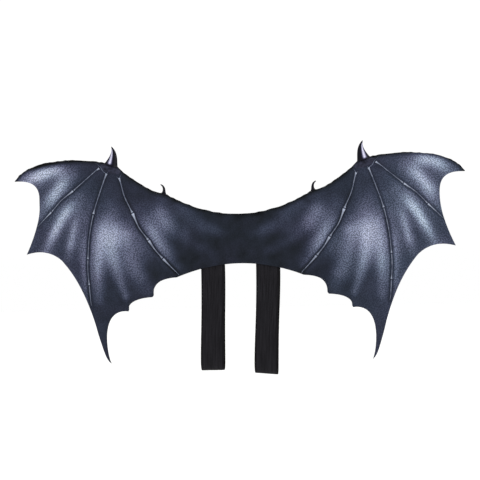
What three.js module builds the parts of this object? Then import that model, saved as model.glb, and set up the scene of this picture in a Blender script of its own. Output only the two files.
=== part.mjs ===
// Costume bat wings: one moulded leather-look foam sheet, cut to two bat wings joined by a yoke.
// Finger bones, wrist caps, claws and thorns are bonded to it, and two elastic arm loops hang behind it.
// Millimetres, +Z up. The printed front faces -Y, the wearer's back is at +Y, and the origin is the
// middle of the yoke's back face. Every place on the outline is given for the +X wing as (x, z).

import * as THREE from "three";
import { mergeVertices } from "three/addons/utils/BufferGeometryUtils.js";

const at = (x, z) => new THREE.Vector2(x, z);

// Driving dimensions
const HALF_SPAN = 391;
const SHEET_THICKNESS = 2.5;
const SEAT_GAP = 0.3; // between a bonded piece and what it sits on
const YOKE_FLAT = 74; // half-width of the yoke that lies flat on the wearer's back
const WRIST_BOW = 26; // how far the wrists stand off the yoke's plane, away from the wearer
const TAIL_SWEEP = 16; // how far the tail tips curl back towards the wearer
const GROOVE = 6; // half-width of the flat groove that each finger bone lies in
const GROOVE_BANK = 11; // width of the slope from a groove up to the full height of the folds
const RAY_STEPS = 16; // facets from the wrist out to the hem

// Outline of one wing, clockwise from the yoke's top
const YOKE_TOP = at(0, 43.5);
const THORN_ROOT = [at(125.3, 80), at(133.8, 82.4)];
const CLAW_ROOT = [at(206.5, 128.8), at(228.5, 136)];
const WRIST = CLAW_ROOT[0].clone().lerp(CLAW_ROOT[1], 0.5);
const WING_TIP = at(HALF_SPAN, 108);
const TIP_NOTCH = at(346.5, 71);
const OUTER_HEM = at(354.1, 26);
const OUTER_CUSP = at(372.5, -19.5);
const TAIL_SHOULDER = at(308, -32.3);
const TAIL_TIP = at(226, -211.5);
const LOWER_CUSP = at(194, -121.5);
const MIDDLE_CUSP = at(153, -97.8);
const INNER_CUSP = at(110.5, -64.5);
const YOKE_BOTTOM = at(0, -42.3);

// Finger bones: the joints from the head at the wrist to the end, how far each bone bows to its left, and
// the line's way on to the outline
const FINGERS = [
  {
    name: "outer",
    joints: [at(238.5, 126.5), at(285, 89.5), at(325.5, 54), at(351, 29)],
    bows: [0.3, 2.3, 0.2],
    onward: [OUTER_HEM],
    shaft: 1.3,
  },
  {
    name: "middle",
    joints: [at(226, 117), at(250.5, 47.5), at(262, -30.5), at(260.8, -75.5), at(257.5, -110)],
    bows: [0.8, 2.2, 1, 0.5],
    onward: [at(247, -142), at(237.5, -178), TAIL_TIP],
    shaft: 1.4,
  },
  {
    name: "inner",
    joints: [at(204.5, 109), at(183, 48.5), at(157, 1), at(133.5, -31), at(106.5, -60.5)],
    bows: [2.6, 3, 1.3, 0],
    onward: [INNER_CUSP],
    shaft: 1.5,
  },
];
const HEAD_FLARE = 2.2; // added to a bone's half-width at its head
const KNUCKLE_SWELL = 1.2; // added to it at each knuckle
const KNUCKLE_REACH = 4; // half-length of a knuckle
const BONE_TAPER = 14; // length over which a bone thins out to its end
const BONE_STEP = 11; // longest facet along a bone
const BONE_ARCH = [1, 0.72, 0, -0.72, -1]; // places across a bone's half-width where its arch has an edge

// Crest lines of the folds in the membrane, from the root of each to the hem
const FOLDS = [
  { from: at(292, 128), bend: at(330, 131), to: at(370, 112), width: 9, rise: 4.5 },
  { from: at(286, 121), bend: at(303, 100), to: at(343, 71), width: 11, rise: 6 },
  { from: at(274, 79), bend: at(300, 48), to: at(339, -13), width: 12, rise: 7 },
  { from: at(267, 56), bend: at(287, 25), to: at(298, -32), width: 9, rise: 5 },
  { from: at(231, 50), bend: at(249, 0), to: at(243, -108), width: 10, rise: 6 },
  { from: at(215, 44), bend: at(214, -20), to: at(196, -106), width: 11, rise: 8 },
  { from: at(192, 42), bend: at(178, -15), to: at(157, -78), width: 13, rise: 7 },
  { from: at(168, 34), bend: at(144, 8), to: at(113, -50), width: 10, rise: 5 },
  { from: at(140, 67), bend: at(128, 36), to: at(72, 20), width: 12, rise: 5 },
  { from: at(114, 12), bend: at(88, -4), to: at(52, -24), width: 9, rise: 3.5 },
];
const FOLD_ROOT = 0.3; // share of a fold's length over which it rises from its root
const YOKE_EASE = 40; // distance over which the folds flatten out beside the yoke

// Wrist caps, claws and thorns
const CAP = { centre: at(219.5, 125), halfLength: 19, halfWidth: 7, rise: 4.2, rings: 4, sides: 18 };
const CLAW = { root: CLAW_ROOT, bend: 12, reach: at(210, 153), tip: at(217.2, 164.5), taper: 0.9 };
const THORN = { root: THORN_ROOT, bend: 5, reach: at(129.3, 93), tip: at(134, 97.7), taper: 0.75 };
const HORN_DEPTH = 0.5; // a horn's depth from front to back as a share of its width
const HORN_RINGS = 7;
const HORN_SIDES = 12;

// Elastic arm loops: x of the front run, the bottom fold and the back run, and the height of the fold
const LOOP_WIDTH = 40;
const LOOP_THICKNESS = 1.6;
const LOOP_LOWER_END = -20; // top of the front run's bonded patch
const LOOP_UPPER_END = 36; // top of the back run's bonded patch
const LOOP_UPPER_PATCH = 28; // length of that patch
const LOOP_HEM = -44; // where the front run leaves the yoke
const LOOP_BEND = 19; // radius of the bottom fold, at the middle of the band
const LOOP_STEPS = 48;
const LOOPS = [
  { name: "right", frontX: 47.5, foldX: 41, backX: 49, foldZ: -235, foldTilt: -0.09 },
  { name: "left", frontX: -48, foldX: -52, backX: -47, foldZ: -227.5, foldTilt: 0 },
];

// Materials
const material = (color, roughness) => new THREE.MeshStandardMaterial({ color, roughness, metalness: 0 });
const PRINTED_FOAM = material(0x2a2f40, 0.6);
const PAINTED_BONE = material(0x6f7288, 0.5);
const DARK_CAP = material(0x23262f, 0.6);
const GLOSS_CLAW = material(0x3b3a4e, 0.25);
const BLACK_ELASTIC = material(0x232224, 0.9);

const clamp01 = (value) => Math.min(1, Math.max(0, value));

function smooth(value) {
  const t = clamp01(value);
  return t * t * (3 - 2 * t);
}

// Curves of the outline

const line = (from, to) => new THREE.LineCurve(from, to);
const bezier = (from, a, b, to) => new THREE.CubicBezierCurve(from, a, b, to);
const bowed = (from, control, to) => new THREE.QuadraticBezierCurve(from, control, to);

function chain(...curves) {
  const path = new THREE.CurvePath();
  curves.forEach((curve) => path.add(curve));
  return path;
}

// A finger's line: a smooth run from the wrist through the joints and each bone's middle to the outline.
function fingerLine({ joints, bows, onward }) {
  const run = bows.flatMap((bow, i) => {
    const bone = joints[i + 1].clone().sub(joints[i]);
    const left = at(-bone.y, bone.x).normalize();
    return [joints[i], joints[i].clone().lerp(joints[i + 1], 0.5).addScaledVector(left, bow)];
  });
  return new THREE.SplineCurve([WRIST, ...run, joints.at(-1), ...onward]);
}

const fingerLines = FINGERS.map(fingerLine);

// The two top edges from the wrist outwards, as curves with their facet counts
const LEADING_EDGE = [
  { curve: line(WRIST, CLAW_ROOT[1]), steps: 1 },
  { curve: bezier(CLAW_ROOT[1], at(278, 145.5), at(368, 149), WING_TIP), steps: RAY_STEPS - 1 },
];
const SHOULDER_EDGE = [
  { curve: line(WRIST, CLAW_ROOT[0]), steps: 1 },
  { curve: bezier(CLAW_ROOT[0], at(190.5, 110.5), at(150, 84), THORN_ROOT[1]), steps: 5 },
  { curve: line(THORN_ROOT[1], THORN_ROOT[0]), steps: 1 },
  { curve: bowed(THORN_ROOT[0], at(62, YOKE_TOP.y), YOKE_TOP), steps: RAY_STEPS - 7 },
];

// The hem of each panel in the same way, clockwise from the wing's tip to the yoke
const HEMS = [
  [
    { curve: bezier(WING_TIP, at(363, 109), at(346.3, 103), TIP_NOTCH), steps: 5 },
    { curve: bowed(TIP_NOTCH, at(346.9, 47.5), OUTER_HEM), steps: 3 },
  ],
  [
    { curve: bowed(OUTER_HEM, at(360.6, 4.7), OUTER_CUSP), steps: 3 },
    { curve: bezier(OUTER_CUSP, at(346, -12), at(326, -16.5), TAIL_SHOULDER), steps: 5 },
    { curve: bezier(TAIL_SHOULDER, at(246, -103), at(247, -198.5), TAIL_TIP), steps: 8 },
  ],
  [
    { curve: bezier(TAIL_TIP, at(232, -200.5), at(247, -114.5), LOWER_CUSP), steps: 8 },
    { curve: bezier(LOWER_CUSP, at(195.5, -106), at(179, -99), MIDDLE_CUSP), steps: 5 },
    { curve: bezier(MIDDLE_CUSP, at(155, -74), at(136, -65.5), INNER_CUSP), steps: 5 },
  ],
  [
    { curve: bowed(INNER_CUSP, at(55, YOKE_BOTTOM.y), YOKE_BOTTOM), steps: 7 },
    { curve: line(YOKE_BOTTOM, YOKE_TOP), steps: 5 },
  ],
];

// Height of the sheet: a formula of x and z alone, so that bonded pieces can be laid on it

const foldLines = FOLDS.map(({ from, bend, to }) => bowed(from, bend, to).getSpacedPoints(20));
const boneLines = fingerLines.map((curve) => curve.getSpacedPoints(60));

// Distance from a place to a run of points, and the share of the run where it is nearest.
function nearest(points, place) {
  let best = { distance: Infinity, share: 0 };
  for (let i = 0; i + 1 < points.length; i++) {
    const step = points[i + 1].clone().sub(points[i]);
    const share = clamp01(place.clone().sub(points[i]).dot(step) / step.lengthSq());
    const distance = points[i].clone().addScaledVector(step, share).distanceTo(place);
    if (distance < best.distance) best = { distance, share: (i + share) / (points.length - 1) };
  }
  return best;
}

// The folds as rounded crests that start at their roots and sink into the bones' grooves and the flat yoke.
function foldRise(place) {
  let rise = 0;
  FOLDS.forEach((fold, i) => {
    const { distance, share } = nearest(foldLines[i], place);
    rise += fold.rise * smooth(share / FOLD_ROOT) * Math.exp(-((distance / fold.width) ** 2));
  });
  for (const points of boneLines) {
    rise *= smooth((nearest(points, place).distance - GROOVE) / GROOVE_BANK);
  }
  return rise * smooth((place.x - YOKE_FLAT) / YOKE_EASE);
}

// How far the sheet stands off the yoke's plane: out to the wrists, back at the tips and at the tails.
function standOff(place) {
  const share = clamp01((place.x - YOKE_FLAT) / (HALF_SPAN - YOKE_FLAT));
  const drop = clamp01((WRIST.y - place.y) / (WRIST.y - TAIL_TIP.y));
  return WRIST_BOW * Math.sin(Math.PI * share) ** 2 - TAIL_SWEEP * smooth(share / 0.3) * drop ** 2;
}

const frontY = (place) => -SHEET_THICKNESS - standOff(place) - foldRise(place);

// A point of the +X wing that lies a given height in front of the sheet.
const onSheet = (place, height) => new THREE.Vector3(place.x, frontY(place) - height, place.y);

// Closed meshes from triangles

// Triangles as a geometry with shared corners, without those that have no area.
function solid(triangles) {
  const kept = triangles.filter(([a, b, c]) => {
    const area = b.clone().sub(a).cross(c.clone().sub(a)).length();
    return area > 1e-6;
  });
  const loose = new THREE.BufferGeometry().setFromPoints(kept.flat());
  const geometry = mergeVertices(loose, 1e-4);
  geometry.computeVertexNormals();
  return geometry;
}

const quad = (a, b, c, d) => [[a, b, c], [a, c, d]];
const turned = (triangles) => triangles.map(([a, b, c]) => [a, c, b]);
const mirrored = (triangles) =>
  turned(triangles).map((corners) => corners.map((p) => new THREE.Vector3(-p.x, p.y, p.z)));

// Rings of points closed by a point at each end. Each ring runs anticlockwise seen from the last ring.
function loft(rings, start, end) {
  const triangles = [];
  const sides = rings[0].length;
  for (let k = 0; k < sides; k++) {
    const next = (k + 1) % sides;
    triangles.push([start, rings[0][next], rings[0][k]]);
    triangles.push([end, rings.at(-1)[k], rings.at(-1)[next]]);
    for (let i = 0; i + 1 < rings.length; i++) {
      triangles.push(...quad(rings[i][k], rings[i][next], rings[i + 1][next], rings[i + 1][k]));
    }
  }
  return triangles;
}

// The wing sheet

// The corners along a run of curves.
function corners(curves) {
  const points = curves.flatMap(({ curve, steps }) => curve.getSpacedPoints(steps).slice(1));
  return [curves[0].curve.getPoint(0), ...points];
}

// The hem's corners in order, with one more beside each finger bone so that its groove stays flat.
function hemCorners(curves, besideFirst, besideLast) {
  const points = corners(curves);
  const towards = (from, to) => from.clone().lerp(to, GROOVE / from.distanceTo(to));
  if (besideLast) points.splice(-1, 0, towards(points.at(-1), points.at(-2)));
  if (besideFirst) points.splice(1, 0, towards(points[0], points[1]));
  return points;
}

// Places on a panel: rays blended between its two sides, each bent to end at its own corner of the hem.
function panelPlaces(firstSide, lastSide, hem) {
  const steps = hem.map((corner, k) => (k ? corner.distanceTo(hem[k - 1]) : 0));
  const total = steps.reduce((sum, step) => sum + step, 0);
  let along = 0;
  return hem.map((corner, k) => {
    along += steps[k];
    const share = along / total;
    const straightEnd = firstSide.at(-1).clone().lerp(lastSide.at(-1), share);
    const pull = corner.clone().sub(straightEnd);
    return firstSide.map((place, i) =>
      place.clone().lerp(lastSide[i], share).addScaledVector(pull, i / RAY_STEPS),
    );
  });
}

function wingSheet() {
  const rays = Array.from({ length: RAY_STEPS + 1 }, (_, i) => i / RAY_STEPS);
  const sides = [
    corners(LEADING_EDGE),
    ...fingerLines.map((curve) => rays.map((share) => curve.getPointAt(share))),
    corners(SHOULDER_EDGE),
  ];
  const last = HEMS.length - 1;
  const hems = HEMS.map((curves, panel) => hemCorners(curves, panel > 0, panel < last));
  const front = (place) => onSheet(place, 0);
  const back = (place) => onSheet(place, -SHEET_THICKNESS);

  const half = [];
  hems.forEach((hem, panel) => {
    const columns = panelPlaces(sides[panel], sides[panel + 1], hem);
    for (let k = 0; k + 1 < columns.length; k++) {
      for (let i = 0; i < RAY_STEPS; i++) {
        const cell = [columns[k][i], columns[k + 1][i], columns[k + 1][i + 1], columns[k][i + 1]];
        half.push(...quad(...cell.map(front)), ...turned(quad(...cell.map(back))));
      }
    }
  });

  const openHem = hems[last].slice(0, -HEMS[last].at(-1).steps); // the yoke's middle line has no wall
  const rim = [...sides.at(-1).toReversed(), ...sides[0], ...hems.slice(0, last).flat(), ...openHem];
  for (let k = 0; k + 1 < rim.length; k++) {
    half.push(...quad(front(rim[k]), front(rim[k + 1]), back(rim[k + 1]), back(rim[k])));
  }
  return solid([...half, ...mirrored(half)]);
}

// Pieces bonded to the front of the sheet

// Distance along a finger's line to each of its joints.
function jointDistances(curve, joints) {
  const perSpan = 40;
  const lengths = curve.getLengths(perSpan * (curve.points.length - 1));
  return joints.map((_, i) => lengths[perSpan * (2 * i + 1)]);
}

// A finger bone: an arched rib with a flared head, a swelling at each knuckle and a thin end.
function fingerBone(finger, curve) {
  const joints = jointDistances(curve, finger.joints);
  const head = joints[0];
  const end = joints.at(-1);
  const knuckles = joints.slice(1, -1);
  const halfWidth = (s) => {
    const flare = HEAD_FLARE * Math.exp(-((s - head) / KNUCKLE_REACH));
    const swell = knuckles.reduce((sum, k) => sum + Math.exp(-(((s - k) / KNUCKLE_REACH) ** 2)), 0);
    const taper = 0.45 + 0.55 * smooth((end - s) / BONE_TAPER);
    return (finger.shaft + flare + KNUCKLE_SWELL * swell) * taper;
  };

  const knuckleMarks = knuckles.flatMap((k) => [k - KNUCKLE_REACH, k, k + KNUCKLE_REACH]);
  const marks = [head, head + KNUCKLE_REACH, ...knuckleMarks, end];
  const stations = marks.slice(0, -1).flatMap((mark, i) => {
    const count = Math.ceil((marks[i + 1] - mark) / BONE_STEP);
    return Array.from({ length: count }, (_, step) => mark + ((marks[i + 1] - mark) * step) / count);
  });
  stations.push(end);

  const length = curve.getLength();
  const rings = stations.map((s) => {
    const centre = curve.getPointAt(s / length);
    const along = curve.getTangentAt(s / length);
    const across = at(-along.y, along.x);
    const half = halfWidth(s);
    const arch = BONE_ARCH.map((q) => {
      const height = SEAT_GAP + 0.4 + (half + 0.5) * Math.sqrt(1 - q * q);
      return onSheet(centre.clone().addScaledVector(across, q * half), height);
    });
    const foot = [-1, 1].map((q) => onSheet(centre.clone().addScaledVector(across, q * half), SEAT_GAP));
    return [...arch, ...foot];
  });
  const middle = (s) => onSheet(curve.getPointAt(s / length), SEAT_GAP + 0.5);
  return solid(loft(rings, middle(head), middle(end)));
}

// A wrist cap: a low oval dome along the claw's root.
function wristCap() {
  const along = CLAW_ROOT[1].clone().sub(CLAW_ROOT[0]).normalize();
  const across = at(-along.y, along.x);
  const ring = (share, height) =>
    Array.from({ length: CAP.sides }, (_, k) => {
      const angle = (2 * Math.PI * k) / CAP.sides;
      const place = CAP.centre
        .clone()
        .addScaledVector(along, CAP.halfLength * share * Math.cos(angle))
        .addScaledVector(across, CAP.halfWidth * share * Math.sin(angle));
      return onSheet(place, height);
    });
  const rings = [ring(0.6, SEAT_GAP), ring(1, SEAT_GAP)];
  for (let j = 1; j < CAP.rings; j++) {
    const angle = (Math.PI / 2) * (j / CAP.rings);
    rings.push(ring(Math.cos(angle), SEAT_GAP + 0.5 + CAP.rise * Math.sin(angle)));
  }
  return solid(loft(rings, onSheet(CAP.centre, SEAT_GAP), onSheet(CAP.centre, SEAT_GAP + 0.5 + CAP.rise)));
}

// A claw or thorn: a curved horn of oval section that stands on the sheet's top edge. Its width is the root's
// times a power, the taper, of the share of its length that is left to the point.
function horn({ root, bend, reach, tip, taper }) {
  const rootLine = root[1].clone().sub(root[0]);
  const out = at(-rootLine.y, rootLine.x).normalize();
  const foot = root[0].clone().lerp(root[1], 0.5).addScaledVector(out, SEAT_GAP);
  const curve = bezier(foot, foot.clone().addScaledVector(out, bend), reach, tip);
  const middleY = frontY(foot) + SHEET_THICKNESS / 2;
  const rootHalf = rootLine.length() / 2;
  const rings = Array.from({ length: HORN_RINGS }, (_, i) => {
    const share = i / HORN_RINGS;
    const centre = curve.getPoint(share);
    const along = curve.getTangent(share);
    const half = rootHalf * (1 - share) ** taper;
    return Array.from({ length: HORN_SIDES }, (_, k) => {
      const angle = (2 * Math.PI * k) / HORN_SIDES;
      const place = centre.clone().addScaledVector(at(along.y, -along.x), half * Math.cos(angle));
      return new THREE.Vector3(place.x, middleY + half * HORN_DEPTH * Math.sin(angle), place.y);
    });
  });
  const point = (place) => new THREE.Vector3(place.x, middleY, place.y);
  return solid(loft(rings, point(foot), point(tip)));
}

// Elastic arm loops

// The loop's side view, from the top of the front patch, round the bottom fold, to the top of the back patch.
function loopPath(foldZ) {
  const seatY = SEAT_GAP + LOOP_THICKNESS / 2;
  const bendZ = foldZ + LOOP_THICKNESS / 2 + LOOP_BEND;
  const frontBend = at(0, bendZ);
  const backBend = at(2 * LOOP_BEND, bendZ);
  const bottom = at(LOOP_BEND, bendZ - LOOP_BEND);
  const round = LOOP_BEND * 0.552; // handle length of a quarter circle
  const upperHem = LOOP_UPPER_END - LOOP_UPPER_PATCH;
  return chain(
    line(at(seatY, LOOP_LOWER_END), at(seatY, LOOP_HEM)),
    bezier(at(seatY, LOOP_HEM), at(seatY, LOOP_HEM - 45), at(-4, bendZ + 60), frontBend),
    bezier(frontBend, at(0, bendZ - round), at(LOOP_BEND - round, bottom.y), bottom),
    bezier(bottom, at(LOOP_BEND + round, bottom.y), at(2 * LOOP_BEND, bendZ - round), backBend),
    bezier(backBend, at(2 * LOOP_BEND + 5, bendZ + 70), at(seatY, upperHem - 46), at(seatY, upperHem)),
    line(at(seatY, upperHem), at(seatY, LOOP_UPPER_END)),
  );
}

function armLoop({ frontX, foldX, backX, foldZ, foldTilt }) {
  const path = loopPath(foldZ);
  const rings = Array.from({ length: LOOP_STEPS + 1 }, (_, i) => {
    const share = i / LOOP_STEPS;
    const place = path.getPoint(share);
    const along = path.getTangent(share);
    const inside = at(along.y, -along.x).multiplyScalar(LOOP_THICKNESS / 2);
    const down = smooth((LOOP_HEM - place.y) / (LOOP_HEM - foldZ));
    const middleX = THREE.MathUtils.lerp(share < 0.5 ? frontX : backX, foldX, down);
    const corner = (side, face) => {
      const x = (side * LOOP_WIDTH) / 2;
      const tilt = foldTilt * x * down;
      return new THREE.Vector3(middleX + x, place.x + face * inside.x, place.y + face * inside.y + tilt);
    };
    return [corner(1, -1), corner(1, 1), corner(-1, 1), corner(-1, -1)];
  });
  const middle = (ring) => ring[0].clone().lerp(ring[2], 0.5);
  return solid(loft(rings, middle(rings[0]), middle(rings.at(-1))));
}

// Assembly

function piece(name, geometry, finish) {
  const mesh = new THREE.Mesh(geometry, finish);
  mesh.name = name;
  return mesh;
}

// The pieces bonded to one wing. The -X wing is the +X wing's mirror image.
function wingPieces(side, mirror) {
  const wing = new THREE.Group();
  FINGERS.forEach((finger, i) => {
    wing.add(piece(`finger_bone_${finger.name}_${side}`, fingerBone(finger, fingerLines[i]), PAINTED_BONE));
  });
  wing.add(piece(`wrist_cap_${side}`, wristCap(), DARK_CAP));
  wing.add(piece(`claw_${side}`, horn(CLAW), GLOSS_CLAW));
  wing.add(piece(`thorn_${side}`, horn(THORN), GLOSS_CLAW));
  wing.scale.x = mirror;
  return wing;
}

const batWings = new THREE.Group();
batWings.add(piece("wing_sheet", wingSheet(), PRINTED_FOAM));
batWings.add(wingPieces("right", 1), wingPieces("left", -1));
LOOPS.forEach((loop) => batWings.add(piece(`arm_loop_${loop.name}`, armLoop(loop), BLACK_ELASTIC)));

export default batWings;
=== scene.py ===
"""Costume bat wings, spread and upright as they are worn.

A printed leather-look foam sheet carries painted finger bones, wrist caps, claws and thorns, and two
elastic arm loops hang behind it. Shapes are worked out in millimetres, in the part's own frame, and
turned into metres when a mesh is made. Places on a wing are (x, z) on the +X side; the other wing is
its mirror image.
"""

import math

import bpy
import numpy as np
from mathutils import Matrix, Vector


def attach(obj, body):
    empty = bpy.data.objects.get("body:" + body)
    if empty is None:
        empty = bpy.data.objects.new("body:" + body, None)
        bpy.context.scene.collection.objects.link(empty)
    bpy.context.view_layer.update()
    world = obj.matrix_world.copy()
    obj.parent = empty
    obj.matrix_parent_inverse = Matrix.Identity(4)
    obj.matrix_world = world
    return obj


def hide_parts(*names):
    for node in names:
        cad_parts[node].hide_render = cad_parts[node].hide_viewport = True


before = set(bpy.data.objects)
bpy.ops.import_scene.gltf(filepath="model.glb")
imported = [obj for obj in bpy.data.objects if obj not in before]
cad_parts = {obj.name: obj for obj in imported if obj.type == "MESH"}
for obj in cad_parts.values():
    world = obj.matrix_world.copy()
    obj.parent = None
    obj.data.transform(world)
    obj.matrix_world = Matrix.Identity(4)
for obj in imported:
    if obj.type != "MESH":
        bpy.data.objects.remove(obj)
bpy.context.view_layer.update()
dice = np.random.default_rng(7)

MM = 0.001

# Sizes of the sheet
HALF_SPAN = 391
SHEET_THICKNESS = 2.5
SEAT_GAP = 0.3
YOKE_FLAT = 74
WRIST_BOW = 26
TAIL_SWEEP = 16
TAIL_EASE = 0.3  # share of the way out at which the sweep is complete
GROOVE = 3.5  # half-width of the flat along each finger, where there are no folds
GROOVE_BANK = 11
FOLD_ROOT = 0.3  # share of its length over which a fold rises
YOKE_EASE = 40
RAY_STEPS = 120
CURVE_STEPS = 240
SPAN_STEPS = 80  # steps of a smooth run between two of its points
LINE_POINTS = 61  # points by which the distance to a whole line is found
FRAY = 0.6  # how far the top edges are frayed in or out
FRAY_STEPS = 3  # steps of an edge between one random move and the next

# Outline of one wing
YOKE_TOP = (0, 43.5)
THORN_ROOT = ((125.3, 80), (133.8, 82.4))
CLAW_ROOT = ((206.5, 128.8), (228.5, 136))
WRIST = (217.5, 132.4)
WING_TIP = (HALF_SPAN, 108)
TIP_NOTCH = (346.5, 71)
OUTER_HEM = (354.1, 26)
OUTER_CUSP = (372.5, -19.5)
TAIL_SHOULDER = (308, -32.3)
TAIL_TIP = (226, -211.5)
LOWER_CUSP = (194, -121.5)
MIDDLE_CUSP = (153, -97.8)
INNER_CUSP = (110.5, -64.5)
YOKE_BOTTOM = (0, -42.3)

# Edges as runs of curves: the curve's points, its number of steps, and whether it is frayed
LEADING_EDGE = [
    ((WRIST, CLAW_ROOT[1]), 8, False),
    ((CLAW_ROOT[1], (278, 145.5), (368, 149), WING_TIP), RAY_STEPS - 8, True),
]
SHOULDER_EDGE = [
    ((WRIST, CLAW_ROOT[0]), 6, False),
    ((CLAW_ROOT[0], (190.5, 110.5), (150, 84), THORN_ROOT[1]), 42, True),
    ((THORN_ROOT[1], THORN_ROOT[0]), 6, False),
    ((THORN_ROOT[0], (62, YOKE_TOP[1]), YOKE_TOP), RAY_STEPS - 54, True),
]
HEMS = [
    [
        ((WING_TIP, (363, 109), (346.3, 103), TIP_NOTCH), 18, False),
        ((TIP_NOTCH, (346.9, 47.5), OUTER_HEM), 10, False),
    ],
    [
        ((OUTER_HEM, (360.6, 4.7), OUTER_CUSP), 13, False),
        ((OUTER_CUSP, (346, -12), (326, -16.5), TAIL_SHOULDER), 18, False),
        ((TAIL_SHOULDER, (246, -103), (247, -198.5), TAIL_TIP), 37, False),
    ],
    [
        ((TAIL_TIP, (232, -200.5), (247, -114.5), LOWER_CUSP), 26, False),
        ((LOWER_CUSP, (195.5, -106), (179, -99), MIDDLE_CUSP), 14, False),
        ((MIDDLE_CUSP, (155, -74), (136, -65.5), INNER_CUSP), 16, False),
    ],
    [
        ((INNER_CUSP, (55, YOKE_BOTTOM[1]), YOKE_BOTTOM), 26, False),
        ((YOKE_BOTTOM, YOKE_TOP), 18, False),
    ],
]

# Finger bones: joints from the head to the end, how far each bone bows to its left, and the line's
# way on to the outline, then the shaft's half-width, what is added to it before and after a joint,
# how light its paint is and how dark its outline
FINGERS = {
    "outer": {
        "joints": [(238.5, 126.5), (285, 89.5), (325.5, 54), (351, 29)],
        "bows": [0.3, 2.3, 0.2],
        "onward": [OUTER_HEM],
        "shaft": 0.7,
        "flares": (1.2, 1.5),
        "paint": 0.42,
        "outline": 0.5,
    },
    "middle": {
        "joints": [(226, 117), (250.5, 47.5), (262, -30.5), (260.8, -75.5), (257.5, -110)],
        "bows": [0.8, 2.2, 1, 0.5],
        "onward": [(247, -142), (237.5, -178), TAIL_TIP],
        "shaft": 0.85,
        "flares": (2.2, 0.3),
        "paint": 0.4,
        "outline": 0.75,
    },
    "inner": {
        "joints": [(204.5, 109), (183, 48.5), (157, 1), (133.5, -31), (106.5, -60.5)],
        "bows": [2.6, 3, 1.3, 0],
        "onward": [INNER_CUSP],
        "shaft": 0.8,
        "flares": (3.4, 3.0),
        "paint": 0.42,
        "outline": 1.0,
    },
}
BONE_STEPS = 420
BONE_RISE = (0.6, 0.7)  # height of a bone: a fixed part, and a share of its half-width
OUTLINE_REACH = (-0.05, 0.3)  # shares of a bone's length between which its outline darkens
HEAD_FLARE = 1.1
HEAD_RUN = 4  # length over which the head's flare dies away
HEAD_LIGHT = 0.6
HEAD_LIGHT_RUN = 5
FLARE_LIGHT = 0.7  # power of a flare's size that its paint follows
FLARE_RUNS = (2.5, 8)  # lengths over which a flare dies away before and after a joint
FLARE_LOSS = 0.5  # share of its size that a flare loses from the head to the end
CRACK = 1.1  # half-width of the crack across a joint
CRACK_LOSS = {"half": 0.35, "height": 0.7, "paint": 0.95}
END_TAPER = 22
END_SHARE = 0.6  # share of the width that is left at the end

# Tendons that fork from the bones' heads towards the wrist, with their half-width and paint at the
# wrist and what is added to each at the bone
TENDON_RISE = 0.6
TENDON_HALF = (0.35, 0.3)
TENDON_PAINT = (0.1, 0.3)
TENDON_FADE = (1, 0.3)  # shares of its length between which a tendon grows to full
TENDONS = {
    "outer": [],
    "middle": [[(226, 117), (232.5, 122), (236.5, 129), (246, 137)], [(226, 117), (222.5, 120.5)]],
    "inner": [[(204.5, 108), (200, 116.5)], [(204.5, 108), (209, 112)]],
}

# Folds pressed into the membrane: root, bend and end of each crest, then its width and rise
FOLDS = [
    ((292, 128), (330, 131), (370, 112), 9, 4.5),
    ((286, 121), (303, 100), (343, 71), 11, 6),
    ((274, 79), (300, 48), (339, -13), 12, 7),
    ((267, 56), (287, 25), (298, -32), 9, 5),
    ((231, 50), (249, 0), (243, -108), 10, 6),
    ((215, 44), (214, -20), (196, -106), 11, 8),
    ((192, 42), (178, -15), (157, -78), 13, 7),
    ((168, 34), (144, 8), (113, -50), 10, 5),
    ((140, 67), (128, 36), (72, 20), 12, 5),
    ((114, 12), (88, -4), (52, -24), 9, 3.5),
]

# Airbrushed strokes: root, bend and end, width at the root and at the end, light, and the shares of
# the length over which the light comes up and dies away
STROKES = [
    ((293, 114), (318, 145), (373, 99), 9, 9, 0.85, 0.45, 0.35),
    ((288, 119), (313, 104), (343, 49), 9, 9, 0.84, 0.4, 0.35),
    ((275, 77), (310, 48), (340, -23), 10, 5, 0.95, 0.4, 0.4),
    ((276, 60), (286, 20), (297, -25), 6, 6, 0.6, 0.5, 0.25),
    ((270, 30), (265, -35), (262, -100), 10, 5, 0.45, 0.5, 0.3),
    ((178, -5), (229, 35), (244, -5), 12, 18, 0.7, 0.45, 0.4),
    ((229, 35), (249, -20), (244, -100), 11, 6, 0.65, 0.4, 0.45),
    ((224, 20), (223, -25), (197, -96), 16, 4, 0.8, 0.25, 0.7),
    ((190, 25), (200, -35), (162, -85), 10, 10, 0.4, 0.1, 0.65),
    ((169, 54), (147, 4), (114, -46), 12, 8, 0.6, 0.45, 0.45),
    ((134, 69), (144, 29), (99, 14), 10, 12, 0.48, 0.35, 0.4),
    ((105, 70), (80, 20), (20, 10), 14, 5, 0.14, 0.05, 0.2),
    ((115, 15), (85, -10), (25, -30), 6, 6, 0.07, 0.55, 0.4),
    ((230, 80), (220, 60), (215, 35), 11, 14, 0.15, 0.4, 0.15),
    ((260, 100), (245, 55), (275, 35), 10, 9, 0.15, 0.75, 0.15),
    ((345, -15), (325, -35), (280, -80), 6, 6, 0.55, 0.45, 0.35),
    ((155, -15), (195, -40), (165, -70), 13, 8, 0.15, 0.05, 0.05),
]
STROKE_ENDS = (0.25, 0.3)  # shares of its light that a stroke has at its root and at its end

# How far the end panel's print lies out and up on the right wing, and in and down on the left one.
# Here and below a pair of places or distances says where a change starts and where it is complete.
PRINT_SHIFT = (2, 2.5)
SHIFT_ACROSS = (260, 320)
SHIFT_UP = (50, 90)
SHIFT_TIP = (375, 345)

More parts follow.
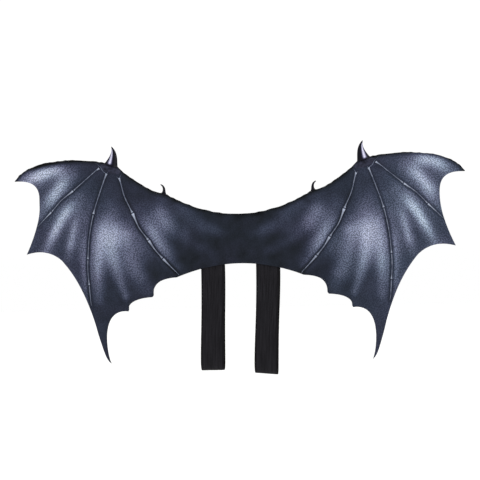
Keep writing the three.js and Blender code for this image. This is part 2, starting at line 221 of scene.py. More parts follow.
# Light of the bare ground: at the yoke, and what is added out along the wing
GROUND = 0.05
GROUND_RISES = [(0.11, (90, 290)), (0.07, (240, 360))]
# Painted light and shade: the right wing's inner panels are lighter and the left's darker, as if lit
# from the right
PAINTED_SIDE_LIGHT = 0.15  # how much lighter the right wing's inner panels are, and darker the left's
TILT_INNER = (60, 180)
TILT_OUTER = (330, 270)
BONE_CLEAR = (1.5, 7)  # distances from a bone
BONE_SHADE = (0.22, 0.18)  # shares of the ground lost beside a bone, and beside its outline
EDGE_BAND = (1, 10)  # distances from the top edges
EDGE_LINE = (0.5, 4.5)
EDGE_GROUND = 0.4  # share of the ground that is left on the band
LEFT_TIP_LIGHT = 0.65  # how much lighter the print is along the top edge towards the left tip
LEFT_TIP_ACROSS = (310, 370)
LEFT_TIP_BAND = (28, 18)

# Wrist caps and horns
CAP_CENTRE = (219.5, 125)
CAP_HALF = (19, 7)
CAP_RISE = 4.2
CAP_ROUND = 1.3  # power that gives the dome its soft rim
CREASE_DEPTH = 0.7
CREASE_PITCH = 3.4
CREASE_WAVE = (0.9, 5)  # how far the creases wander across the cap, and over what length
CREASE_SHARP = 8
CLAW = {
    "root": CLAW_ROOT,
    "bend": 12,
    "reach": (210, 153),
    "tip": (217.2, 164.5),
    "slim": 1.0,
    "taper": 0.9,
    "fillet": 1.2,
    "sheen": 1.0,
}
THORN = {
    "root": THORN_ROOT,
    "bend": 5,
    "reach": (126.2, 93.5),
    "tip": (135.2, 97.2),
    "slim": 0.62,
    "taper": 0.4,
    "fillet": 6.5,
    "sheen": 0.0,
}
ROOT_DEPTH = 2.2  # how far the horns reach into the sheet
HORN_DEPTH = 0.5  # depth of a horn as a share of its width
HORN_END = 0.985  # share of the length at which the point is blunted
FILLET_RUN = 0.12  # share of a horn's length, as are the sheen's rise and fall
SHEEN_RISE = (0, 0.12)
SHEEN_FALL = (1, 0.8)
SHEEN_PLACE = (0.22, 0.5)  # where the sheen lies across the horn at the root, and how far it moves
SHEEN_WIDTH = 0.32
GROWTH_LINES = 30

# Elastic arm loops
QUARTER_TURN = 0.552  # share of its radius by which a quarter circle's Bezier points stand off
LOOP_WIDTH = 40
LOOP_THICKNESS = 1.6
LOOP_LOWER_END = -20
LOOP_UPPER_END = 36
LOOP_UPPER_PATCH = 28
LOOP_HEM = -44
LOOP_BEND = 19
LOOP_ROUND = 24  # power that rounds the selvedges and leaves the band flat between them
LOOP_RIBS = 13
LOOP_FURROW = 0.12  # share of its thickness that the band loses between two ribs
LOOP_WAIST = 0.04  # share of its width that the stretched band loses half-way down
LOOPS = {
    "right": {"front": 47.5, "fold": 41, "back": 49, "fold_z": -235, "tilt": -0.09},
    "left": {"front": -48, "fold": -52, "back": -47, "fold_z": -227.5, "tilt": 0.0},
}


# Curves and places


def ramp(value, start, end):
    """A soft step from 0 at start to 1 at end: three times the square less twice the cube."""
    t = np.clip((value - start) / (end - start), 0, 1)
    return t * t * (3 - 2 * t)


def bezier(t, *points):
    """A Bezier curve of any degree: each point weighted by its binomial term in t."""
    t = np.asarray(t, float)[:, None]
    n = len(points) - 1
    return sum(
        math.comb(n, i) * t**i * (1 - t) ** (n - i) * np.array(point, float)
        for i, point in enumerate(points)
    )


def spline(points):
    """A smooth run through points: cubic spans with end slopes of half the step between neighbours."""
    p = np.array(points, float)
    ends = np.concatenate([p[:1], p, p[-1:]])
    t = np.linspace(0, 1, SPAN_STEPS, endpoint=False)[:, None]
    spans = []
    for a, b, c, d in zip(ends, ends[1:], ends[2:], ends[3:]):
        m, n = (c - a) / 2, (d - b) / 2
        spans.append(b + m * t + (3 * (c - b) - 2 * m - n) * t**2 + (2 * (b - c) + m + n) * t**3)
    return np.concatenate([*spans, p[-1:]])


def lengths(points):
    """Distance along a run of points to each of them."""
    return np.concatenate([[0], np.cumsum(np.linalg.norm(np.diff(points, axis=0), axis=1))])


def along(points, distance):
    """Places at given distances along a run of points."""
    s = lengths(points)
    return np.stack([np.interp(distance, s, column) for column in np.asarray(points).T], -1)


def sideways(points):
    """Unit vectors a quarter turn to the left of a run of points."""
    step = np.gradient(points, axis=0)
    return np.stack([-step[:, 1], step[:, 0]], -1) / np.linalg.norm(step, axis=1)[:, None]


def edge(curves):
    """Places in equal steps along Bezier curves, moved in or out at random where an edge is frayed."""
    places, loose = [np.array(curves[0][0][:1], float)], [0.0]
    for points, steps, frayed in curves:
        curve = bezier(np.linspace(0, 1, CURVE_STEPS), *points)
        places.append(along(curve, np.linspace(0, lengths(curve)[-1], steps + 1))[1:])
        bumps = dice.uniform(-FRAY, FRAY, steps // FRAY_STEPS + 2) * frayed
        amount = np.interp(np.arange(steps) / FRAY_STEPS, np.arange(len(bumps)), bumps)
        amount[-1] = 0
        loose.extend(amount)
    run = np.concatenate(places)
    return run + sideways(run) * np.array(loose)[:, None]


def nearest(points, places):
    """Distance from each place to a run of points, and the share of the run where it is nearest."""
    start, step = points[:-1], np.diff(points, axis=0)
    away = places[:, None] - start[None]
    share = np.clip((away * step).sum(-1) / (step**2).sum(-1), 0, 1)
    distance = np.linalg.norm(away - share[..., None] * step, axis=-1)
    best = distance.argmin(1)
    row = np.arange(len(places))
    return distance[row, best], (best + share[row, best]) / len(step)


def finger_line(row):
    """A finger's line: a smooth run from the wrist through the joints and each bone's bowed middle."""
    joints = np.array(row["joints"], float)
    bones = np.diff(joints, axis=0)
    left = np.stack([-bones[:, 1], bones[:, 0]], -1) / np.linalg.norm(bones, axis=1)[:, None]
    middles = joints[:-1] + bones / 2 + left * np.array(row["bows"])[:, None]
    run = np.stack([joints[:-1], middles], 1).reshape(-1, 2)
    return spline([WRIST, *run, joints[-1], *row["onward"]])


finger_lines = {name: finger_line(row) for name, row in FINGERS.items()}
# A finger's line has two spans to a bone, after the one from the wrist to its head
bone_lines = {
    name: line[SPAN_STEPS : SPAN_STEPS * (2 * len(FINGERS[name]["joints"]) - 1) + 1]
    for name, line in finger_lines.items()
}


def line_distance(lines, places):
    """Distance from each place to the nearest of several lines."""
    runs = [along(line, np.linspace(0, lengths(line)[-1], LINE_POINTS)) for line in lines.values()]
    return np.min([nearest(run, places)[0] for run in runs], axis=0)


def outline_share(name, share):
    """How dark a bone's outline is at a share of its length: faint at the head, then in full."""
    return FINGERS[name]["outline"] * ramp(share, *OUTLINE_REACH)


def front_y(places):
    """The sheet's front face over (x, z).

    A squared sine of x brings the wrists forward, a square of the drop below them takes the tails
    back, and rounded crests along the fold lines stand on that, flattened in the bones' grooves and at
    the yoke.
    """
    x, z = np.abs(places[:, 0]), places[:, 1]
    places = np.stack([x, z], -1)
    share = np.clip((x - YOKE_FLAT) / (HALF_SPAN - YOKE_FLAT), 0, 1)
    drop = np.clip((WRIST[1] - z) / (WRIST[1] - TAIL_TIP[1]), 0, 1)
    out = WRIST_BOW * np.sin(np.pi * share) ** 2 - TAIL_SWEEP * ramp(share, 0, TAIL_EASE) * drop**2
    folds = np.zeros(len(x))
    for root, bend, end, width, rise in FOLDS:
        distance, reach = nearest(bezier(np.linspace(0, 1, 21), root, bend, end), places)
        folds += rise * ramp(reach, 0, FOLD_ROOT) * np.exp(-((distance / width) ** 2))
    folds *= ramp(line_distance(finger_lines, places), GROOVE, GROOVE + GROOVE_BANK)
    folds *= ramp(x, YOKE_FLAT, YOKE_FLAT + YOKE_EASE)
    return -SHEET_THICKNESS - out - folds


def on_sheet(places, height):
    """Points that lie a given height in front of the sheet's face."""
    flat = places.reshape(-1, 2)
    y = front_y(flat).reshape(places.shape[:-1]) - height
    return np.stack([places[..., 0], y, places[..., 1]], -1)


def edge_distance(places):
    """Distance from each place to the nearest of the two top edges."""
    t = np.linspace(0, 1, 30, endpoint=False)
    runs = [
        np.concatenate([*(bezier(t, *points) for points, _, _ in curves), curves[-1][0][-1:]])
        for curves in (LEADING_EDGE, SHOULDER_EDGE)
    ]
    return np.min([nearest(run, places)[0] for run in runs], axis=0)


def paint_light(places):
    """How far the airbrush lightens each place.

    Each stroke is a bell across its crest line that comes up from its root and dies away at its end.
    Strokes are laid over each other as light through gaps, over a ground that is darkest at the yoke.
    The paint sinks to the ground beside the bones, and there is none on the band along the top edges.
    The two wings' prints differ in where the end panel's lies and in how light some parts of it are.
    """
    x, z = np.abs(places[:, 0]), places[:, 1]
    side = np.sign(places[:, 0])
    outer = side * ramp(x, *SHIFT_ACROSS) * ramp(z, *SHIFT_UP) * ramp(x, *SHIFT_TIP)
    places = np.stack([x, z], -1)
    printed = places - outer[:, None] * PRINT_SHIFT
    dark = np.ones(len(x))
    for root, bend, end, wide, narrow, light, rise, fall in STROKES:
        distance, reach = nearest(bezier(np.linspace(0, 1, 25), root, bend, end), printed)
        width = wide + (narrow - wide) * reach
        amount = light * (STROKE_ENDS[0] + (1 - STROKE_ENDS[0]) * ramp(reach, 0, rise))
        amount *= STROKE_ENDS[1] + (1 - STROKE_ENDS[1]) * ramp(reach, 1, 1 - fall)
        dark *= 1 - amount * np.exp(-0.5 * (distance / width) ** 2)
    ground = GROUND + sum(rise * ramp(x, *between) for rise, between in GROUND_RISES)
    # Painted light on the right wing's inner panels and painted shade on the left's
    ground *= 1 + PAINTED_SIDE_LIGHT * side * ramp(x, *TILT_INNER) * ramp(x, *TILT_OUTER)
    clear = ramp(line_distance(bone_lines, places), *BONE_CLEAR)
    for name, line in bone_lines.items():
        distance, share = nearest(line[:: SPAN_STEPS // 8], places)
        shade = BONE_SHADE[0] + BONE_SHADE[1] * outline_share(name, share)
        ground *= 1 - shade * (1 - ramp(distance, *BONE_CLEAR))
    band = edge_distance(places) + outer * PRINT_SHIFT[1]
    below = ramp(band, *EDGE_BAND)
    ground *= (EDGE_GROUND + (1 - EDGE_GROUND) * below) * ramp(band, *EDGE_LINE)
    lighter = 1 + LEFT_TIP_LIGHT * ramp(-side * x, *LEFT_TIP_ACROSS) * ramp(band, *LEFT_TIP_BAND)
    return lighter * (ground + (1 - dark) * clear * below * (1 - ground))


# Meshes

SHARP_ANGLE = 50  # degrees between two faces from which the edge between them stays sharp


def mesh_piece(name, points, faces, materials, values=None, indices=None):
    """An object from points in millimetres, its faces, and values on its points by attribute name."""
    mesh = bpy.data.meshes.new(name)
    mesh.from_pydata((np.asarray(points) * MM).tolist(), [], faces)
    for key, value in (values or {}).items():
        layer = mesh.attributes.new(key, "FLOAT", "POINT")
        layer.data.foreach_set("value", np.asarray(value, np.float32).ravel())
    for material in materials:
        mesh.materials.append(material)
    if indices is not None:
        mesh.polygons.foreach_set("material_index", np.asarray(indices, np.int32))
    mesh.polygons.foreach_set("use_smooth", np.ones(len(faces), bool))
    mesh.set_sharp_from_angle(angle=math.radians(SHARP_ANGLE))
    mesh.update()
    piece = bpy.data.objects.new(name, mesh)
    bpy.context.scene.collection.objects.link(piece)
    return piece


def tube_faces(rings, sides):
    """Faces of a tube closed flat at both ends. Its rings run anticlockwise seen from the last one."""
    i, k = np.meshgrid(np.arange(rings - 1), np.arange(sides), indexing="ij")
    here, after = i * sides + k, i * sides + (k + 1) % sides
    quads = np.stack([here, after, after + sides, here + sides], -1).reshape(-1, 4).tolist()
    last = (rings - 1) * sides
    return [*quads, list(range(sides))[::-1], list(range(last, last + sides))]


def mirrored(points, faces):
    """The mirror image in the middle plane, with its faces turned to point outwards again."""
    return points * np.array([-1, 1, 1]), [face[::-1] for face in faces]


# Materials, with the sizes of their patterns in millimetres

PEBBLE = 2.5
WEAVE_RIB = 1.5
WEAVE_PICK = 1.1
SELVEDGE = (16.5, 18.0)  # distances from the band's middle over which its edge darkens


def linear(colour):
    """A hex sRGB colour as linear red, green, blue and alpha."""
    parts = [int(colour[i : i + 2], 16) / 255 for i in (1, 3, 5)]
    return (*(c / 12.92 if c <= 0.04045 else ((c + 0.055) / 1.055) ** 2.4 for c in parts), 1.0)


def join(tree, node, inputs):
    """Fills a node's inputs with values, or joins them to sockets or to other nodes' first outputs."""
    for key, value in inputs.items():
        if isinstance(value, bpy.types.Node):
            value = next(socket for socket in value.outputs if socket.enabled)
        if isinstance(value, bpy.types.NodeSocket):
            tree.links.new(value, node.inputs[key])
        else:
            node.inputs[key].default_value = value


def add(tree, kind, inputs=None, stops=(), **settings):
    """A new shader node with its settings, a ramp's stops as (position, hex colour), and its inputs."""
    node = tree.nodes.new("ShaderNode" + kind)
    for key, value in settings.items():
        setattr(node, key, value)
    for position, _ in stops[2:]:
        node.color_ramp.elements.new(position)
    for element, (position, colour) in zip(node.color_ramp.elements if stops else (), stops):
        element.position, element.color = position, linear(colour)
    join(tree, node, inputs or {})
    return node


def new_material(name):
    """A material with only its output and shader, then its tree and the shader."""
    material = bpy.data.materials.new(name)
    material.use_nodes = True
    return material, material.node_tree, material.node_tree.nodes["Principled BSDF"]


def printed_film():
    """Polyurethane film on foam, embossed with leather grain and airbrush printed.

    The eye sees light folds on navy, broken up into pale pebbles with painted highlights on their tops.
    """
    material, tree, shader = new_material("printed grained film on foam")
    place = add(tree, "TexCoord").outputs["Object"]
    light = add(tree, "Attribute", attribute_name="light").outputs["Fac"]
    cloud = add(tree, "TexNoise", {"Vector": place, "Scale": 40.0, "Detail": 3.0})
    ink = add(tree, "MapRange", {0: cloud, 1: 0.3, 2: 0.7, 3: -0.03, 4: 0.03})
    uneven = add(tree, "Math", {0: light, 1: ink}, operation="ADD")
    tone = add(
        tree,
        "ValToRGB",
        {"Fac": uneven},
        [
            (0.0, "#0d0f12"),
            (0.04, "#1d2128"),
            (0.1, "#272b37"),
            (0.22, "#3a3f50"),
            (0.48, "#61667b"),
            (0.75, "#8a92a7"),
            (1.0, "#b4bccf"),
        ],
    )
    # Teal and violet drift through the navy in patches about 70 mm across, more violet on the left
    drift = add(tree, "TexNoise", {"Vector": place, "Scale": 14.0, "Detail": 1.0})
    over = add(tree, "SeparateXYZ", {0: place}).outputs["X"]
    lean = add(tree, "Math", {0: over, 1: -0.25, 2: drift}, operation="MULTIPLY_ADD")
    tint = add(tree, "ValToRGB", {"Fac": lean}, [(0.3, "#eff7f7"), (0.5, "#f6f7fa"), (0.7, "#f9f4fa")])
    tinted = add(tree, "Mix", {0: 1.0, 6: tone, 7: tint}, data_type="RGBA", blend_type="MULTIPLY")
    # Painted highlights on the tops of the pebbles and painted shade in the gaps between them, stronger
    # where the print is light
    flat = add(tree, "Mapping", {"Vector": place, "Rotation": (math.radians(90), 0, math.radians(33))})
    pebble = add(tree, "TexVoronoi", {"Vector": flat, "Scale": 1000 / PEBBLE}, voronoi_dimensions="2D")
    dome = add(tree, "MapRange", {0: pebble, 1: 0.05, 2: 0.5, 3: 1.0, 4: 0.0})
    pebble_highlight = add(tree, "MapRange", {0: dome, 1: 0.0, 2: 1.0, 3: 0.56, 4: 1.85})
    highlight_reach = add(tree, "MapRange", {0: light, 1: 0.04, 2: 0.3, 3: 0.2, 4: 0.9})
    highlight_mix = {0: highlight_reach, 6: tinted, 7: pebble_highlight}
    highlighted_print = add(tree, "Mix", highlight_mix, data_type="RGBA", blend_type="MULTIPLY")
    bump = add(tree, "Bump", {"Height": dome, "Strength": 0.4, "Distance": 0.00015})
    join(tree, shader, {"Base Color": highlighted_print, "Normal": bump})
    join(tree, shader, {"Roughness": 0.6, "Specular IOR Level": 0.06})
    return material


def two_shades(name, dark, light, grit, roughness, specular, relief):
    """A matt material: two close shades and a small relief, from noise with its grit in millimetres."""
    material, tree, shader = new_material(name)
    place = add(tree, "TexCoord").outputs["Object"]
    noise = add(tree, "TexNoise", {"Vector": place, "Scale": 1000 / grit, "Detail": 5.0})
    shade = add(tree, "ValToRGB", {"Fac": noise}, [(0.3, dark), (0.7, light)])
    bump = add(tree, "Bump", {"Height": noise, "Strength": 0.6, "Distance": relief * MM})
    join(tree, shader, {"Base Color": shade, "Normal": bump})
    join(tree, shader, {"Roughness": roughness, "Specular IOR Level": specular})
    return material


def painted_rib():
    """Moulded rubber ribs, brush painted: dark flanks, a dim lilac ridge, and light bone ends."""
    material, tree, shader = new_material("moulded rib, brush painted")
    place = add(tree, "TexCoord").outputs["Object"]
    ridge = add(tree, "Attribute", attribute_name="ridge").outputs["Fac"]
    paint = add(tree, "Attribute", attribute_name="paint").outputs["Fac"]
    wear = add(tree, "TexNoise", {"Vector": place, "Scale": 160.0, "Detail": 3.0})
    rub = add(tree, "MapRange", {0: wear, 1: 0.3, 2: 0.7, 3: -0.1, 4: 0.1})
    patchy = add(tree, "Math", {0: paint, 1: rub}, operation="ADD")
    coats = [(0.0, "#1d2029"), (0.35, "#4d5468"), (1.0, "#c0c8dc")]
    coat = add(tree, "ValToRGB", {"Fac": patchy}, coats)
    top = add(tree, "MapRange", {0: ridge, 1: 0.2, 2: 0.7, 3: 0.0, 4: 1.0})
    body = add(tree, "Mix", {0: top, 6: linear("#2e3247"), 7: coat}, data_type="RGBA")
    bump = add(tree, "Bump", {"Height": wear, "Strength": 0.3, "Distance": 0.0001})
    join(tree, shader, {"Base Color": body, "Normal": bump})
    join(tree, shader, {"Roughness": 0.5, "Specular IOR Level": 0.2})
    return material


def lacquered_horn():
    """Moulded vinyl horn, gloss lacquered: navy-black growth lines, and a lilac painted sheen."""
    material, tree, shader = new_material("moulded horn, gloss lacquered")
    sheen = add(tree, "Attribute", attribute_name="sheen").outputs["Fac"]
    rings = add(tree, "Attribute", attribute_name="rings").outputs["Fac"]
    lines = add(tree, "TexNoise", {"W": rings, "Scale": 1.0, "Detail": 3.0}, noise_dimensions="1D")
    rub = add(tree, "MapRange", {0: lines, 1: 0.3, 2: 0.7, 3: -0.08, 4: 0.08})
    uneven = add(tree, "Math", {0: sheen, 1: rub}, operation="ADD")
    shades = [(0.05, "#0e0d16"), (0.35, "#2d2c42"), (0.75, "#a6a5c0"), (1.0, "#dad9ec")]
    shade = add(tree, "ValToRGB", {"Fac": uneven}, shades)
    bump = add(tree, "Bump", {"Height": lines, "Strength": 0.25, "Distance": 0.0002})
    join(tree, shader, {"Base Color": shade, "Normal": bump})
    join(tree, shader, {"Roughness": 0.3, "Specular IOR Level": 0.12})
    return material


def ribbed_elastic():
    """Woven elastic: black yarn over rubber, in lengthwise ribs crossed by picks."""
    material, tree, shader = new_material("black woven elastic")
    across = add(tree, "Attribute", attribute_name="across").outputs["Fac"]
    down = add(tree, "Attribute", attribute_name="down").outputs["Fac"]
    rib_turn = add(tree, "Math", {0: across, 1: 2 * math.pi / WEAVE_RIB}, operation="MULTIPLY")
    pick_turn = add(tree, "Math", {0: down, 1: 2 * math.pi / WEAVE_PICK}, operation="MULTIPLY")
    ribs = add(tree, "Math", {0: rib_turn}, operation="SINE")
    picks = add(tree, "Math", {0: pick_turn}, operation="SINE")
    weave = add(tree, "Math", {0: picks, 1: 0.5, 2: ribs}, operation="MULTIPLY_ADD")
    long = add(tree, "Math", {0: down, 1: 0.05}, operation="MULTIPLY")
    flat = add(tree, "CombineXYZ", {"X": across, "Y": long})
    streaks = add(tree, "TexNoise", {"Vector": flat, "Scale": 0.45, "Detail": 3.0})
    yarn = add(tree, "ValToRGB", {"Fac": streaks}, [(0.3, "#171619"), (0.7, "#27262a")])
    side = add(tree, "Math", {0: across}, operation="ABSOLUTE")
    selvedge = add(tree, "MapRange", {0: side, 1: SELVEDGE[0], 2: SELVEDGE[1], 3: 0.0, 4: 0.6})
    edged = add(tree, "Mix", {0: selvedge, 6: yarn, 7: linear("#0d0c0e")}, data_type="RGBA")
    # Painted shade: the yarn is darker where the weave is low, in the hollows between ribs and picks
    furrow_shade = add(tree, "MapRange", {0: weave, 1: -1.5, 2: 1.5, 3: 0.6, 4: 1.1})
    woven = add(tree, "Mix", {0: 0.7, 6: edged, 7: furrow_shade}, data_type="RGBA", blend_type="MULTIPLY")
    bump = add(tree, "Bump", {"Height": weave, "Strength": 0.6, "Distance": 0.00015})
    join(tree, shader, {"Base Color": woven, "Normal": bump})
    join(tree, shader, {"Roughness": 0.85, "Specular IOR Level": 0.06})
    return material


PRINT = printed_film()
BACKING = two_shades("black foam backing", "#1a1a1e", "#303036", 9, 0.85, 0.15, 0.3)
CUT_EDGE = two_shades("cut foam edge", "#0b0b0d", "#15161a", 0.7, 0.9, 0.05, 0.12)
RIB = painted_rib()
CAP_SKIN = two_shades("creased dark film", "#1e1f29", "#383a4b", 5.0, 0.7, 0.08, 0.15)
HORN = lacquered_horn()
ELASTIC = ribbed_elastic()


# The wing sheet


def panel(first, last, hem):
    """Places on a panel: rays blended between its two sides, each bent to end at its place on a hem."""
    share = (lengths(hem) / lengths(hem)[-1])[None, :, None]
    out = np.linspace(0, 1, len(first))[:, None, None]
    straight = first[-1] * (1 - share) + last[-1] * share
    return first[:, None] * (1 - share) + last[:, None] * share + out * (hem[None] - straight)


def wing_sheet():
    """Both wings and the yoke as one closed sheet: front, back a thickness behind it, and cut edge."""
    rays = np.linspace(0, 1, RAY_STEPS + 1)
    fingers = [along(line, rays * lengths(line)[-1]) for line in finger_lines.values()]
    sides = [edge(LEADING_EDGE), *fingers, edge(SHOULDER_EDGE)]
    places, cells, first = [], [], 0
    for j, curves in enumerate(HEMS):
        grid = panel(sides[j], sides[j + 1], edge(curves))
        rows, columns = grid.shape[:2]
        i, k = np.meshgrid(np.arange(rows - 1), np.arange(columns - 1), indexing="ij")
        here = first + i * columns + k
        cells.append(np.stack([here, here + 1, here + columns + 1, here + columns], -1).reshape(-1, 4))
        places.append(grid.reshape(-1, 2))
        first += rows * columns
    right, cells = np.concatenate(places), np.concatenate(cells)
    both = np.round(np.concatenate([right, right * [-1, 1]]), 4) + 0.0
    places, index = np.unique(both, axis=0, return_inverse=True)
    cells = index.ravel()[np.concatenate([cells, cells[:, ::-1] + len(right)])]

    # At the wrists the cells come to a point
    same = cells == np.roll(cells, -1, axis=1)
    whole = ~same.any(1)
    pointed = [corners[~doubled].tolist() for corners, doubled in zip(cells[~whole], same[~whole])]
    front = [*cells[whole].tolist(), *pointed]
    pairs = np.concatenate([np.stack([face, np.roll(face, -1)], -1) for face in front])
    _, found, times = np.unique(np.sort(pairs, axis=1), axis=0, return_index=True, return_counts=True)
    rim = pairs[found[times == 1]]
    n = len(places)
    back = [[corner + n for corner in face[::-1]] for face in front]
    wall = np.stack([rim[:, 1], rim[:, 0], rim[:, 0] + n, rim[:, 1] + n], -1).tolist()

    points = np.concatenate([on_sheet(places, 0), on_sheet(places, -SHEET_THICKNESS)])
    values = {"light": np.tile(paint_light(places), 2)}
    indices = [0] * len(front) + [1] * len(back) + [2] * len(wall)
    faces = [*front, *back, *wall]
    return mesh_piece("wing_sheet_visual", points, faces, [PRINT, BACKING, CUT_EDGE], values, indices)


# Pieces on the sheet


def rib(centre, half, height, paint, outline):
    """An arched rib on the sheet: half an oval, as wide and high as given along its middle line.

    Its ridge is 1 along the top and falls towards the flanks as far as the outline is dark.
    """
    turn = np.linspace(0, np.pi, 15)
    places = centre[:, None] + sideways(centre)[:, None] * (half[:, None] * np.cos(turn))[..., None]
    points = on_sheet(places, SEAT_GAP + height[:, None] * np.sin(turn))
    ridge = 1 - outline[:, None] * (1 - np.sin(turn))
    values = {"ridge": ridge, "paint": np.repeat(paint, len(turn))}
    return points.reshape(-1, 3), tube_faces(len(centre), len(turn)), values


def finger_bone(name):
    """A finger bone and the tendons at its head, all arched ribs.

    The bone's half-width is the shaft's, plus flares that die away from the head and to both sides of
    each joint and are smaller the further out the joint is. It thins towards its end, and a crack
    crosses each joint. The paint is lightest on the head and the flares, and the outline darkens along
    the bone.
    """
    row = FINGERS[name]
    line = bone_lines[name]
    marks = lengths(line)[2 * SPAN_STEPS * np.arange(len(row["joints"]))]
    end = marks[-1]
    s = np.linspace(0, end, BONE_STEPS)
    gap = s[:, None] - marks[None, 1:-1]
    before = np.where(gap < 0, np.exp(gap / FLARE_RUNS[0]), 0).max(1)
    after = np.where(gap > 0, np.exp(-gap / FLARE_RUNS[1]), 0).max(1)
    flare = (row["flares"][0] * before + row["flares"][1] * after) * (1 - FLARE_LOSS * s / end)
    crack = np.exp(-((gap / CRACK) ** 2)).max(1)
    thin = END_SHARE + (1 - END_SHARE) * ramp(s, end, end - END_TAPER)
    half = (row["shaft"] + HEAD_FLARE * np.exp(-s / HEAD_RUN) + flare) * thin
    head_light = HEAD_LIGHT * np.exp(-s / HEAD_LIGHT_RUN)
    light = np.minimum((flare / max(row["flares"])) ** FLARE_LIGHT + head_light, 1)
    paint = (row["paint"] + (1 - row["paint"]) * light) * (1 - CRACK_LOSS["paint"] * crack)
    height = (BONE_RISE[0] + BONE_RISE[1] * half) * (1 - CRACK_LOSS["height"] * crack)
    half *= 1 - CRACK_LOSS["half"] * crack
    shapes = [rib(along(line, s), half, height, paint, outline_share(name, s / end))]

    t = np.linspace(0, 1, 40)
    for tendon in TENDONS[name]:
        route = spline(tendon)
        centre = along(route, t * lengths(route)[-1])
        fade = ramp(t, *TENDON_FADE)
        half, paint = (low + more * fade for low, more in (TENDON_HALF, TENDON_PAINT))
        shapes.append(rib(centre, half, np.full(len(t), TENDON_RISE), paint, np.zeros(len(t))))
    firsts = np.cumsum([0, *(len(points) for points, _, _ in shapes)])
    faces = [[k + first for k in face] for (_, f, _), first in zip(shapes, firsts) for face in f]
    values = {key: np.concatenate([v[key] for _, _, v in shapes]) for key in ("ridge", "paint")}
    return np.concatenate([points for points, _, _ in shapes]), faces, values


def wrist_cap():
    """A wrist cap: a low oval dome along the claw's root, lower in the creases that run along it."""
    a, b = np.array(CLAW_ROOT, float)
    lengthwise = (b - a) / np.linalg.norm(b - a)
    across = np.array([-lengthwise[1], lengthwise[0]])
    angle = np.linspace(0, 2 * np.pi, 64, endpoint=False)
    share = np.append(np.cos(np.linspace(0, np.pi / 2, 24)[:-1]), 0.02)
    u = CAP_HALF[0] * share[:, None] * np.cos(angle)
    v = CAP_HALF[1] * share[:, None] * np.sin(angle)
    wander = v + CREASE_WAVE[0] * np.sin(u / CREASE_WAVE[1])
    crease = np.cos(2 * np.pi * wander / CREASE_PITCH) ** CREASE_SHARP
    dome = (1 - share[:, None] ** 2) ** CAP_ROUND
    height = SEAT_GAP + (CAP_RISE - CREASE_DEPTH * crease) * dome
    places = np.array(CAP_CENTRE) + u[..., None] * lengthwise + v[..., None] * across
    return on_sheet(places, height).reshape(-1, 3), tube_faces(len(share), len(angle)), {}


def horn(root, bend, reach, tip, slim, taper, fillet, sheen):
    """A claw or thorn: oval rings along a bent line that stands on the sheet's top edge.

    The width is a share of the root's times a power of the length that is left, and a fillet that dies
    away is added to it at the root. The paint's sheen is a bell across the horn that moves from near
    its middle at the root to its outer side.
    """
    a, b = np.array(root, float)
    out = np.array([a[1] - b[1], b[0] - a[0]]) / np.linalg.norm(b - a)
    foot = (a + b) / 2 - ROOT_DEPTH * out
    t = np.linspace(0, HORN_END, 70)
    centre = bezier(t, foot, foot + bend * out, reach, tip)
    body = slim * np.linalg.norm(b - a) / 2 * (1 - t) ** taper
    half = body + fillet * np.exp(-t / FILLET_RUN)
    angle = np.linspace(0, 2 * np.pi, 40, endpoint=False)
    places = centre[:, None] - sideways(centre)[:, None] * (half[:, None] * np.cos(angle))[..., None]
    middle = front_y((a + b)[None] / 2)[0] + SHEET_THICKNESS / 2
    y = middle + HORN_DEPTH * body[:, None] * np.sin(angle)
    points = np.stack([places[..., 0], y, places[..., 1]], -1)
    off = np.cos(angle)[None] - SHEEN_PLACE[0] - SHEEN_PLACE[1] * t[:, None]
    strength = sheen * ramp(t, *SHEEN_RISE) * ramp(t, *SHEEN_FALL)
    lit = strength[:, None] * np.exp(-((off / SHEEN_WIDTH) ** 2))
    values = {"sheen": lit, "rings": np.repeat(t * GROWTH_LINES, len(angle))}
    return points.reshape(-1, 3), tube_faces(len(t), len(angle)), values


def place_pair(node, shape, material):
    """The right-hand piece and its mirror image, standing for their CAD nodes."""
    points, faces, values = shape
    for side, (p, f) in {"right": (points, faces), "left": mirrored(points, faces)}.items():
        piece = mesh_piece(f"{node}_{side}_visual", p, f, [material], values)
        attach(piece, "root")
        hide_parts(f"{node}_{side}")


# Arm loops


def loop_path(fold_z):
    """A loop's side view as (y, z): down from the front patch, round the fold, up to the back patch."""
    seat = SEAT_GAP + LOOP_THICKNESS / 2
    turn = fold_z + LOOP_THICKNESS / 2 + LOOP_BEND
    low = turn - LOOP_BEND
    handle = LOOP_BEND * QUARTER_TURN
    wide = 2 * LOOP_BEND
    upper = LOOP_UPPER_END - LOOP_UPPER_PATCH
    curves = [
        ((seat, LOOP_LOWER_END), (seat, LOOP_HEM)),
        ((seat, LOOP_HEM), (seat, LOOP_HEM - 45), (-4, turn + 60), (0, turn)),
        ((0, turn), (0, turn - handle), (LOOP_BEND - handle, low), (LOOP_BEND, low)),
        ((LOOP_BEND, low), (LOOP_BEND + handle, low), (wide, turn - handle), (wide, turn)),
        ((wide, turn), (wide + 5, turn + 70), (seat, upper - 46), (seat, upper)),
        ((seat, upper), (seat, LOOP_UPPER_END)),
    ]
    t = np.linspace(0, 1, 80, endpoint=False)
    return np.concatenate([*(bezier(t, *curve) for curve in curves), [curves[-1][-1]]])


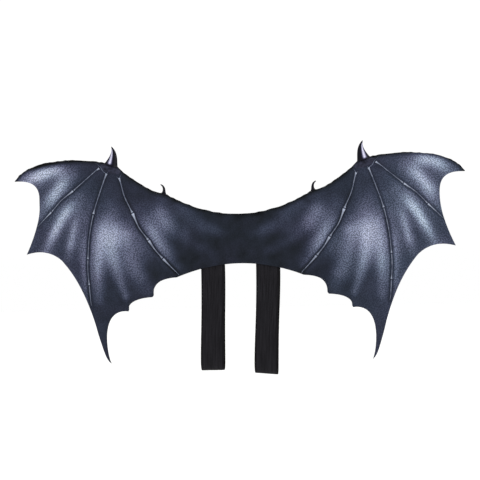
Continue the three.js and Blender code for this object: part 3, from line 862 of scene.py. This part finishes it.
def arm_loop(side):
    """An arm loop: a flat band with round selvedges and shallow ribs, swept along its side view."""
    where = LOOPS[side]
    path = loop_path(where["fold_z"])
    total = lengths(path)[-1]
    s = np.linspace(0, total, 260)
    centre = along(path, s)
    inside = -sideways(centre)
    down = ramp(centre[:, 1], LOOP_HEM, where["fold_z"])
    start = np.where(s < total / 2, where["front"], where["back"])
    middle = start + (where["fold"] - start) * down

    q = np.sin(np.linspace(-np.pi / 2, np.pi / 2, 53))
    furrows = 1 - LOOP_FURROW * np.cos(np.pi * LOOP_RIBS * q) ** 2
    half = LOOP_THICKNESS / 2 * (1 - np.abs(q) ** LOOP_ROUND) ** 0.5 * furrows
    across = np.concatenate([q, q[-2:0:-1]])[::-1] * LOOP_WIDTH / 2
    lift = np.concatenate([half, -half[-2:0:-1]])[::-1]
    x = middle[:, None] + across * (1 - 4 * LOOP_WAIST * down * (1 - down))[:, None]
    y = centre[:, :1] + inside[:, :1] * lift
    z = centre[:, 1:] + inside[:, 1:] * lift + where["tilt"] * across * down[:, None]
    points = np.stack([x, y, z], -1).reshape(-1, 3)
    values = {"across": np.tile(across, len(s)), "down": np.repeat(s, len(across))}
    faces = tube_faces(len(s), len(across))
    piece = mesh_piece(f"arm_loop_{side}_visual", points, faces, [ELASTIC], values)
    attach(piece, "root")
    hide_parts(f"arm_loop_{side}")


sheet = wing_sheet()
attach(sheet, "root")
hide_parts("wing_sheet")
for finger in FINGERS:
    place_pair(f"finger_bone_{finger}", finger_bone(finger), RIB)
place_pair("wrist_cap", wrist_cap(), CAP_SKIN)
place_pair("claw", horn(**CLAW), HORN)
place_pair("thorn", horn(**THORN), HORN)
for side in LOOPS:
    arm_loop(side)


# Stage, light and camera


def studio_floor():
    """A plain pale floor below the loops."""
    size, height = 14.0, -0.42
    mesh = bpy.data.meshes.new("floor")
    corners = [(-size, -size), (size, -size), (size, size), (-size, size)]
    mesh.from_pydata([(x, y, height) for x, y in corners], [], [(0, 1, 2, 3)])
    mesh.materials.append(two_shades("pale paper", "#f6f6f5", "#fafaf9", 25, 0.9, 0.1, 0.05))
    floor = bpy.data.objects.new("floor", mesh)
    bpy.context.scene.collection.objects.link(floor)


def softbox(name, place, power, size):
    """A square softbox aimed at the middle of the wings."""
    light = bpy.data.lights.new(name, "AREA")
    light.energy, light.size = power, size
    box = bpy.data.objects.new(name, light)
    box.location = place
    box.rotation_euler = Vector(place).to_track_quat("Z", "Y").to_euler()
    bpy.context.scene.collection.objects.link(box)


def studio_world():
    """White studio surroundings: lightest overhead, greyer where the printed face looks."""
    world = bpy.data.worlds.new("studio")
    world.use_nodes = True
    tree = world.node_tree
    way = add(tree, "SeparateXYZ", {0: add(tree, "TexCoord").outputs["Generated"]})
    walls = add(tree, "MapRange", {0: way.outputs["Y"], 1: -0.6, 2: 0.3, 3: 0.35, 4: 1.0})
    ceiling = add(tree, "MapRange", {0: way.outputs["Z"], 1: 0.0, 2: 1.0, 3: 0.0, 4: 0.7})
    both = add(tree, "Math", {0: walls, 1: ceiling}, operation="ADD")
    join(tree, tree.nodes["Background"], {"Color": (1, 1, 1, 1), "Strength": both})
    bpy.context.scene.world = world


def photo_camera():
    """A long lens aimed at the yoke from a little to the right and below, with a slight lean."""
    distance, seen, across, up = 3.83, 0.831, 0.0007, -0.002
    right, below, lean = math.radians(4.3), math.radians(0.55), math.radians(1.2)
    camera = bpy.data.cameras.new("camera")
    camera.lens = camera.sensor_width * distance / seen
    camera.clip_end = 60
    view = bpy.data.objects.new("camera", camera)
    around = Matrix.Rotation(right, 4, "Z") @ Matrix.Rotation(below, 4, "X")
    upright = Matrix.Rotation(math.radians(90), 4, "X") @ Matrix.Rotation(-lean, 4, "Z")
    view.matrix_world = around @ Matrix.Translation((across, -distance, up)) @ upright
    bpy.context.scene.collection.objects.link(view)
    bpy.context.scene.camera = view


studio_floor()
studio_world()
softbox("key", (2.2, -2.6, 1.6), 38, 1.8)
softbox("fill", (-2.0, -2.6, 1.6), 4, 2.0)
photo_camera()
bpy.context.scene.view_settings.view_transform = "Standard"
